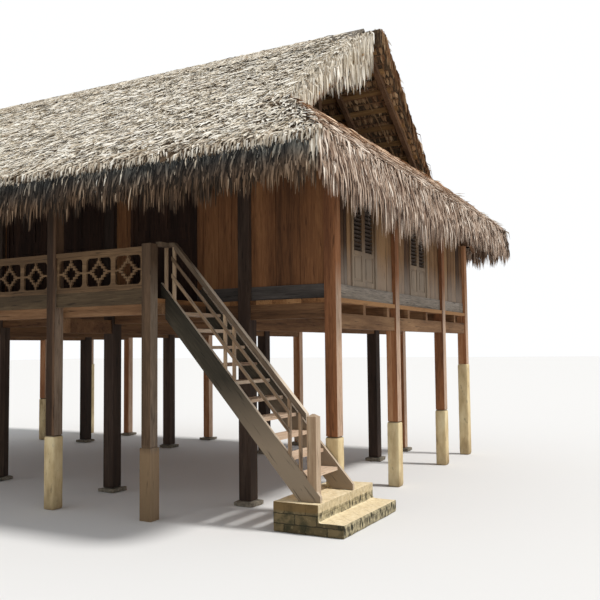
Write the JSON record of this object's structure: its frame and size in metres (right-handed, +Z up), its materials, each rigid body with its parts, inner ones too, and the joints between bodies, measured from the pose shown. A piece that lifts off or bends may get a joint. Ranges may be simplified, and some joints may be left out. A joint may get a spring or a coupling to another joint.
{
  "type": "thatched stilt house",
  "caption": "Timber house raised on posts, with a palm-thatched hip-and-gable roof, a railed front porch and an open stair on masonry steps.",
  "frame": {"origin": "centre of the underside of the front right corner plinth, on the ground", "axes": "+X along the front of the house, towards the right-hand gable with the stair foot, +Y towards the rear wall, +Z up"},
  "size_m": [9.928, 7.368, 6.1862],
  "materials": {
    "masonry": "rendered brick with a sandy top and mossy sides",
    "painted_plinth": "matt cream paint on cement",
    "footing_stone": "rough grey stone",
    "post_timber": "planed reddish brown hardwood",
    "column_timber": "dark aged hardwood",
    "floor_timber": "sawn brown timber",
    "floor_boards": "sawn boards",
    "sill_timber": "grey weathered timber",
    "front_boards": "oiled wide boards",
    "weathered_boards": "weathered boards",
    "door_timber": "dark stained timber",
    "shutter_timber": "weathered joinery",
    "railing_timber": "bare sawn timber",
    "stair_timber": "grey-brown worn timber",
    "tread_timber": "worn pale timber",
    "roof_timber": "smoke-darkened timber",
    "rafter_poles": "round poles",
    "batten_laths": "split bamboo laths",
    "palm_thatch": "dry palm-leaf thatch in overlapping strips",
    "ridge_timber": "grey weathered boards"
  },
  "bodies": {
    "root": {"masonry_steps": "masonry", "post_plinths": "painted_plinth", "footing_stones": "footing_stone", "gable_posts": "post_timber", "main_columns": "column_timber", "rear_wall_posts": "post_timber", "porch_posts": "post_timber", "landing_posts": "post_timber", "long_floor_beams": "floor_timber", "cross_floor_beams": "floor_timber", "floor_joists": "floor_timber", "porch_beams": "floor_timber", "floor_deck": "floor_boards", "porch_deck": "floor_boards", "porch_band_board": "railing_timber", "sill_boards": "sill_timber", "front_wall": "front_boards", "front_wall_over_doors": "front_boards", "gable_walls": "weathered_boards", "gable_walls_over_windows": "weathered_boards", "rear_wall": "weathered_boards", "rear_wall_over_windows": "weathered_boards", "door_frames": "door_timber", "door_leaves": "door_timber", "window_frames": "weathered_boards", "window_shutters": "shutter_timber", "railing_rails": "railing_timber", "railing_fretwork": "railing_timber", "stair_stringers": "stair_timber", "stair_treads": "tread_timber", "stair_newel": "stair_timber", "stair_handrail": "stair_timber", "stair_mid_rails": "stair_timber", "stair_balusters": "stair_timber", "wall_plates": "roof_timber", "eave_plates": "roof_timber", "gable_plates": "roof_timber", "head_beams": "roof_timber", "tie_beams": "roof_timber", "king_posts": "roof_timber", "ridge_pole": "roof_timber", "main_rafters": "rafter_poles", "hip_rafters": "rafter_poles", "skirt_rafters": "rafter_poles", "roof_battens": "batten_laths", "thatch_front": "palm_thatch", "thatch_rear": "palm_thatch", "thatch_skirts": "palm_thatch", "ridge_boards": "ridge_timber"}
  },
  "joints": []
}
